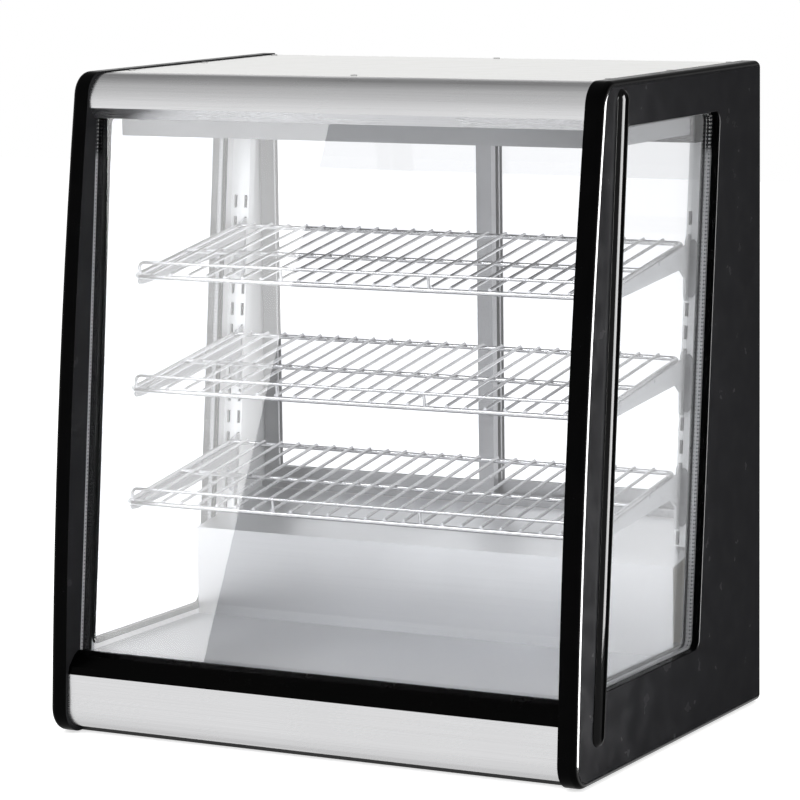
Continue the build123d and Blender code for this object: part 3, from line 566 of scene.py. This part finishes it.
def window_outline(x, inset, radius, steps=8):
    """Rounded outline of the leaning side window at one X, moved inward by inset."""
    low, high = WINDOW_BOTTOM + inset, WINDOW_TOP - inset
    corners = [
        (lean_y(low, WINDOW_FRONT + inset), low),
        (lean_y(low, WINDOW_REAR - inset), low),
        (lean_y(high, WINDOW_REAR - inset), high),
        (lean_y(high, WINDOW_FRONT + inset), high),
    ]
    points = []
    for index, corner in enumerate(corners):
        here = Vector(corner)
        before = (Vector(corners[index - 1]) - here).normalized() * radius
        after = (Vector(corners[(index + 1) % 4]) - here).normalized() * radius
        for step in range(steps + 1):
            share = step / steps
            start, end = here + before, here + after
            point = (1 - share) ** 2 * start + 2 * share * (1 - share) * here + share**2 * end
            points.append((x, point.x, point.y))
    return points


def build_window_gaskets(made):
    """Dark rubber gaskets where the side glass meets the inner wall."""
    for side, label in ((-1, "left"), (1, "right")):
        x = side * (CABIN_HALF - GASKET_LIP)

        def shape(work):
            outer = window_outline(x, -GASKET_SEAT, WINDOW_RADIUS)
            inner = window_outline(x, GASKET_WIDTH, WINDOW_RADIUS - GASKET_WIDTH)
            frame_loop(work, outer, inner, Vector((side * GASKET_DEPTH, 0, 0)))

        new_piece(f"window_gasket_{label}", shape, made["gasket_rubber"])


def build_slot_backs(made):
    """Dark strips of painted shade inside the uprights, seen through the slots."""
    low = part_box("pilasters")[0].z + SLOT_SHADE_END
    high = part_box("pilasters")[1].z - SLOT_SHADE_END
    setback = PILASTER_FRONT + SLOT_SHADE_SETBACK
    for side, label in ((-1, "left"), (1, "right")):
        near = side * (CABIN_HALF - PILASTER_DEPTH + SLOT_SHADE_INSET)
        far = side * (CABIN_HALF - SLOT_SHADE_INSET)

        def shape(work):
            corners = ((near, low), (far, low), (far, high), (near, high))
            outline = [(x, lean_y(z, setback), z) for x, z in corners]
            slab(work, outline, Vector((0, SLOT_SHADE_THICKNESS, 0)))

        new_piece(f"slot_back_{label}", shape, made["slot_shade"])


def build_bracket_leaves(made):
    """Long rounded plates that seat each bracket on the face of its upright."""
    for level, height in enumerate(SHELF_HEIGHTS):
        middle = height + (LEAF_RISE - LEAF_DROP) / 2
        half = (LEAF_RISE + LEAF_DROP) / 2
        for side, label in ((-1, "left"), (1, "right")):
            x = side * LEAF_X

            def shape(work):
                outline = []
                for step in range(LEAF_STEPS):
                    turn = 2 * math.pi * step / LEAF_STEPS
                    rise = math.sin(turn)
                    z = middle + half * math.copysign(abs(rise) ** LEAF_FULLNESS, rise)
                    y = lean_y(z, PILASTER_FRONT - LEAF_GAP)
                    outline.append((x + LEAF_HALF * math.cos(turn), y, z))
                slab(work, outline, Vector((0, -LEAF_SHEET, 0)))

            name = f"bracket_leaf_{level}_{label}"
            piece = new_piece(name, shape, made["leaf_steel"], LEAF_EDGE)
            piece.data.shade_smooth()


def build_world():
    """White behind the object, graded surroundings in reflections, even light on the object."""
    world = bpy.data.worlds.new("studio")
    bpy.context.scene.world = world
    world.use_nodes = True
    n = Nodes(world.node_tree)
    path = n.add("ShaderNodeLightPath")
    toward = n.add("ShaderNodeTexCoord").outputs["Generated"]
    heading = n.add("ShaderNodeSeparateXYZ", Vector=toward)
    height = n.remap(heading.outputs["Z"], -1.0, 1.0, 0.0, 1.0)
    levels = []
    for steps in (AHEAD, BEHIND):
        ramp = n.add("ShaderNodeValToRGB", Fac=height)
        stops = ramp.color_ramp.elements
        while len(stops) < len(steps):
            stops.new(0.5)
        for stop, (place, level) in zip(stops, steps):
            stop.position = place
            stop.color = (*grey(level), 1)
        levels.append(ramp.outputs["Color"])
    behind = n.remap(heading.outputs["Y"], *FRONT_TO_BACK, 0.0, 1.0)
    around = n.mix_colour(behind, levels[0], levels[1])
    nearness = n.add("ShaderNodeVectorMath", {"operation": "DOT_PRODUCT"})
    n.feed(nearness, "0", toward)
    n.feed(nearness, "1", SHADED_HEADING)
    shaded = n.remap(nearness.outputs["Value"], *SHADED_EDGE, 0.0, 1.0)
    around = n.mix_colour(shaded, around, (*grey(SHADED_LEVEL), 1))
    even = n.add("ShaderNodeBackground", Color=(1, 1, 1, 1), Strength=WORLD_LIGHT)
    graded = n.add("ShaderNodeBackground", Color=around, Strength=1.0)
    white = n.add("ShaderNodeBackground", Color=(1, 1, 1, 1), Strength=1.0)
    reflections = n.add("ShaderNodeMixShader")
    n.feed(reflections, "0", path.outputs["Is Glossy Ray"])
    n.feed(reflections, "1", even.outputs[0])
    n.feed(reflections, "2", graded.outputs[0])
    seen = n.math("MAXIMUM", path.outputs["Is Camera Ray"], path.outputs["Is Transmission Ray"])
    mix = n.add("ShaderNodeMixShader")
    n.feed(mix, "0", seen)
    n.feed(mix, "1", reflections.outputs[0])
    n.feed(mix, "2", white.outputs[0])
    output = n.add("ShaderNodeOutputWorld")
    n.feed(output, "Surface", mix.outputs[0])


def build_floor():
    """Pale floor that keeps the object's soft shadow."""
    mesh = bpy.data.meshes.new("studio_floor")
    half = FLOOR_SIZE / 2
    corners = [(-half, -half, 0), (half, -half, 0), (half, half, 0), (-half, half, 0)]
    mesh.from_pydata(corners, [], [(0, 1, 2, 3)])
    floor = bpy.data.objects.new("studio_floor", mesh)
    bpy.context.scene.collection.objects.link(floor)
    material, n = start_material("pale_floor")
    shader = n.add("ShaderNodeBsdfPrincipled", Base_Color=(0.9, 0.9, 0.9, 1), Roughness=0.9)
    n.feed(shader, "Specular IOR Level", 0.0)
    path = n.add("ShaderNodeLightPath")
    seen = n.math("MAXIMUM", path.outputs["Is Camera Ray"], path.outputs["Is Transmission Ray"])
    n.feed(shader, "Emission Color", (1, 1, 1, 1))
    n.feed(shader, "Emission Strength", n.math("MULTIPLY", seen, FLOOR_LIFT))
    close_material(n, shader.outputs[0])
    mesh.materials.append(material)
    floor.visible_glossy = False


def place_lamp(name, place, aim, width, height, power):
    """Rectangular area lamp aimed at a point."""
    data = bpy.data.lights.new(name, "AREA")
    data.shape = "RECTANGLE"
    data.size = width
    data.size_y = height
    data.energy = power
    lamp = bpy.data.objects.new(name, data)
    bpy.context.scene.collection.objects.link(lamp)
    turn = (Vector(aim) - Vector(place)).to_track_quat("-Z", "Y").to_matrix().to_4x4()
    lamp.matrix_world = Matrix.Translation(place) @ turn
    return lamp


def light_only(lamp, names):
    """Let a lamp reach only these CAD nodes."""
    chosen = bpy.data.collections.new(lamp.name + "_reach")
    for name in names:
        chosen.objects.link(NODES[name])
    lamp.light_linking.receiver_collection = chosen


def build_lights():
    """Soft boxes for the shading, and narrow ones for the highlights on gloss."""
    for name, place, aim, width, height, power in SOFTBOXES:
        lamp = place_lamp(name, place, aim, width, height, power)
        lamp.visible_glossy = False
    for name, place, aim, width, height, power, reach in STRIPS:
        strip = place_lamp(name, place, aim, width, height, power)
        strip.visible_camera = False
        strip.visible_diffuse = False
        strip.visible_transmission = False
        light_only(strip, reach)
    name, place, aim, size, power, reach = FILL
    fill = place_lamp(name, place, aim, size, size, power)
    fill.visible_glossy = False
    light_only(fill, reach)
    build_veil_lamp()


def build_veil_lamp():
    """Large soft box mirrored by the left part of the front glass, with a slanted edge."""
    low, high = VEIL_EDGE
    upright = (high - low).normalized()
    back = -VEIL_FACING.normalized()
    across = upright.cross(back).normalized()
    back = across.cross(upright)
    centre = (low + high) / 2 + across * VEIL_SIZE[0] / 2 * (-1 if across.x > 0 else 1)
    lamp = place_lamp("glass_softbox", centre, centre - back, VEIL_SIZE[0], VEIL_SIZE[1], VEIL_POWER)
    lamp.matrix_world = Matrix.Translation(centre) @ Matrix((across, upright, back)).transposed().to_4x4()
    lamp.visible_camera = False
    lamp.visible_diffuse = False
    lamp.visible_transmission = False
    light_only(lamp, ("front_glass",))


build_camera()
MATERIALS = build_materials()
dress_nodes(MATERIALS)
build_window_gaskets(MATERIALS)
build_slot_backs(MATERIALS)
build_bracket_leaves(MATERIALS)
build_world()
build_floor()
build_lights()
bpy.context.scene.view_settings.view_transform = "Standard"
